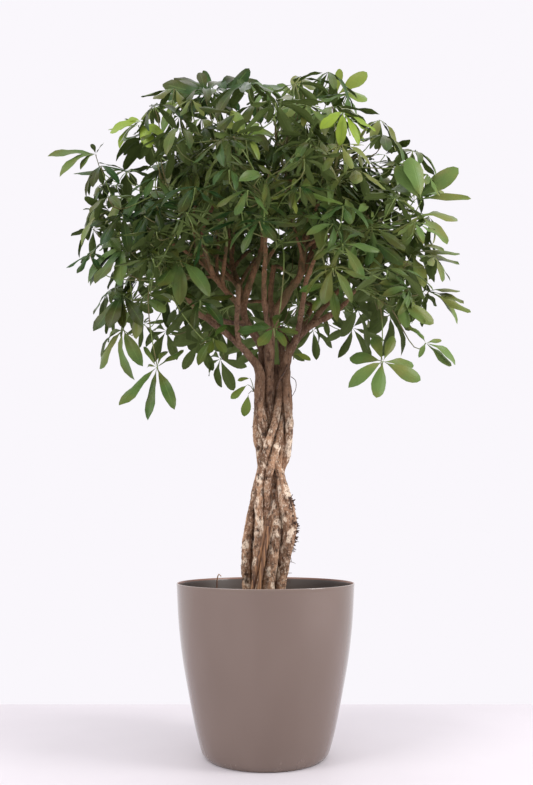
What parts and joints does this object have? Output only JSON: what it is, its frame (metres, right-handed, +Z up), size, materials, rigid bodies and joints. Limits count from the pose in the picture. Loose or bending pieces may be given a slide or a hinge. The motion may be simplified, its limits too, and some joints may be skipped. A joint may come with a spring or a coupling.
{
  "type": "potted umbrella plant",
  "caption": "Umbrella tree with stems twisted into one trunk and a wide crown of palmate leaves, in a round bowed planter filled with soil.",
  "frame": {"origin": "centre of the planter's foot, on the floor", "axes": "+Z up along the trunk; -Y is the side seen in the picture; +X is its right-hand side"},
  "size_m": [0.985, 0.8107, 1.6423],
  "materials": {
    "planter": "gloss taupe",
    "soil": "loose damp potting mix of peat and bark",
    "bark": "rough grooved bark",
    "cane": "dry split cane",
    "leaf": "glossy leathery leaf, paler underside"
  },
  "bodies": {
    "root": {"planter": "planter", "soil": "soil", "stem_1": "bark", "stem_2": "bark", "stem_3": "bark", "stem_4": "bark", "stem_5": "bark", "stem_6": "bark", "dry_cane_1": "cane", "dry_cane_2": "cane", "dry_stalk": "cane", "sprout_left": "leaf", "sprout_right": "leaf", "shoot_01": "leaf", "shoot_02": "leaf", "shoot_03": "leaf", "shoot_04": "leaf", "shoot_05": "leaf", "shoot_06": "leaf", "shoot_07": "leaf", "shoot_08": "leaf", "shoot_09": "leaf", "shoot_10": "leaf", "shoot_11": "leaf", "shoot_12": "leaf", "shoot_13": "leaf", "shoot_14": "leaf", "shoot_15": "leaf", "shoot_16": "leaf", "shoot_17": "leaf", "shoot_18": "leaf", "shoot_19": "leaf", "shoot_20": "leaf", "shoot_21": "leaf", "shoot_22": "leaf", "shoot_23": "leaf", "shoot_24": "leaf", "shoot_25": "leaf", "shoot_26": "leaf", "shoot_27": "leaf", "shoot_28": "leaf", "shoot_29": "leaf", "shoot_30": "leaf", "shoot_31": "leaf", "shoot_32": "leaf", "shoot_33": "leaf", "shoot_34": "leaf", "shoot_35": "leaf", "shoot_36": "leaf", "shoot_37": "leaf", "shoot_38": "leaf"}
  },
  "joints": []
}
